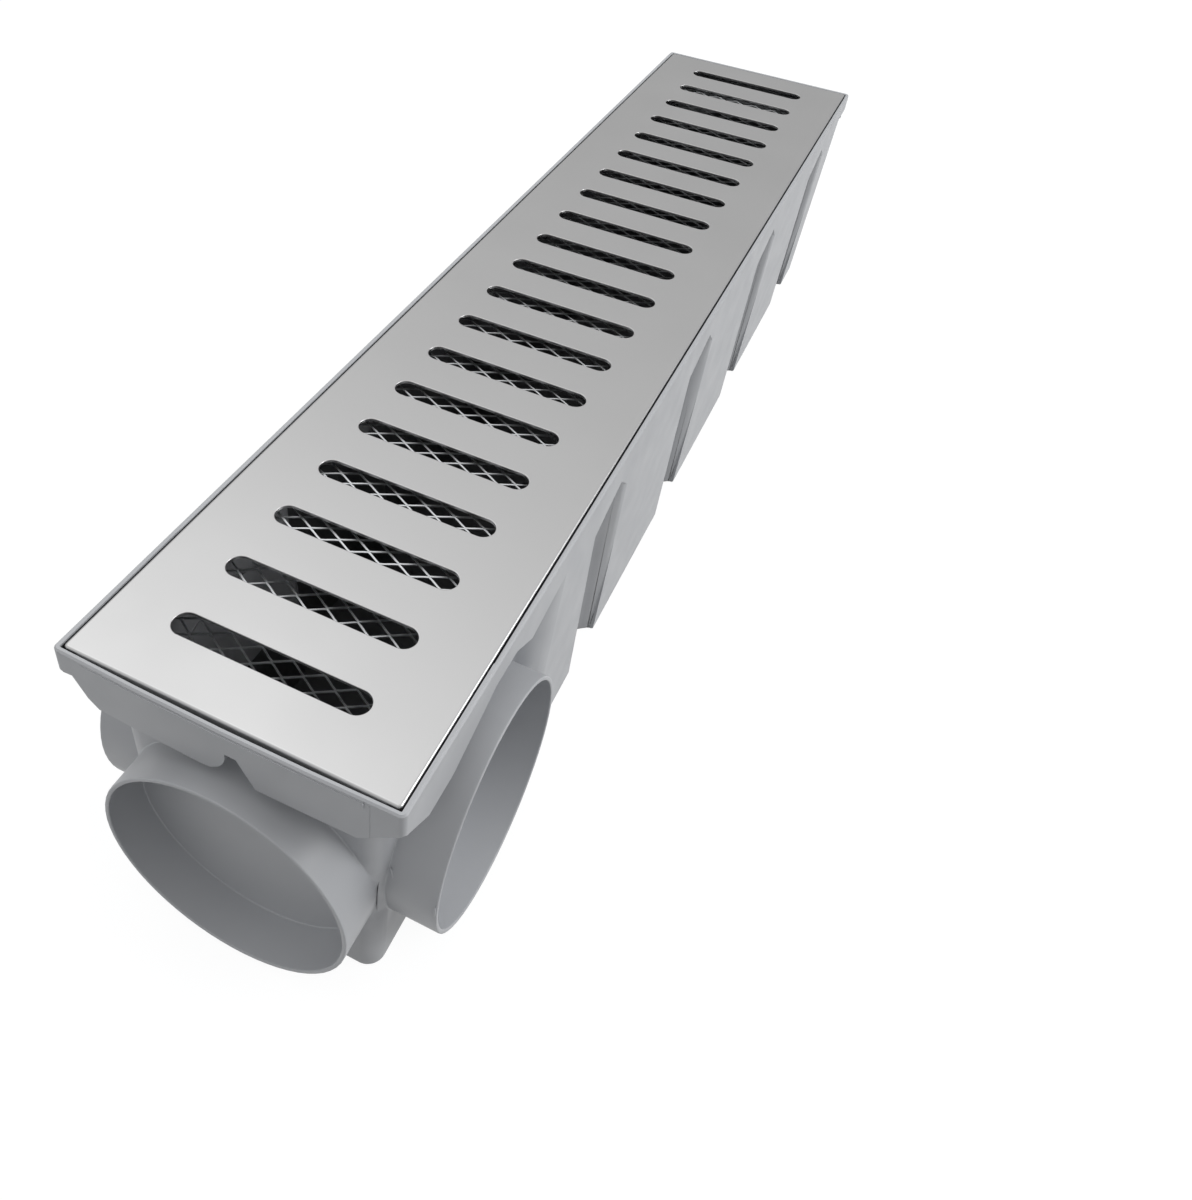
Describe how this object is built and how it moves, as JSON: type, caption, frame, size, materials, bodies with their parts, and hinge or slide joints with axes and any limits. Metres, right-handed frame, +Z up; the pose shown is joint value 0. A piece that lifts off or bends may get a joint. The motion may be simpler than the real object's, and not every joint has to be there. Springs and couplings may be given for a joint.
{
  "type": "channel drain",
  "caption": "Linear channel drain: a moulded trough with round pipe sockets, a diamond mesh debris screen and a flush slotted steel grate that lies in its rim.",
  "frame": {"origin": "under the middle of the whole length, on the plane that the floor of the trough stands on", "axes": "+Y along the trough, away from the outlet chamber; +X across it; +Z up, out of the grate"},
  "size_m": [0.112, 0.5184, 0.102],
  "materials": {
    "body_plastic": "satin light grey moulded PVC",
    "grate_steel": "satin stainless steel",
    "screen_steel": "bright stainless expanded metal"
  },
  "bodies": {
    "root": {"channel_body": "body_plastic", "grate_plate": "grate_steel", "debris_screen": "screen_steel"}
  },
  "joints": []
}
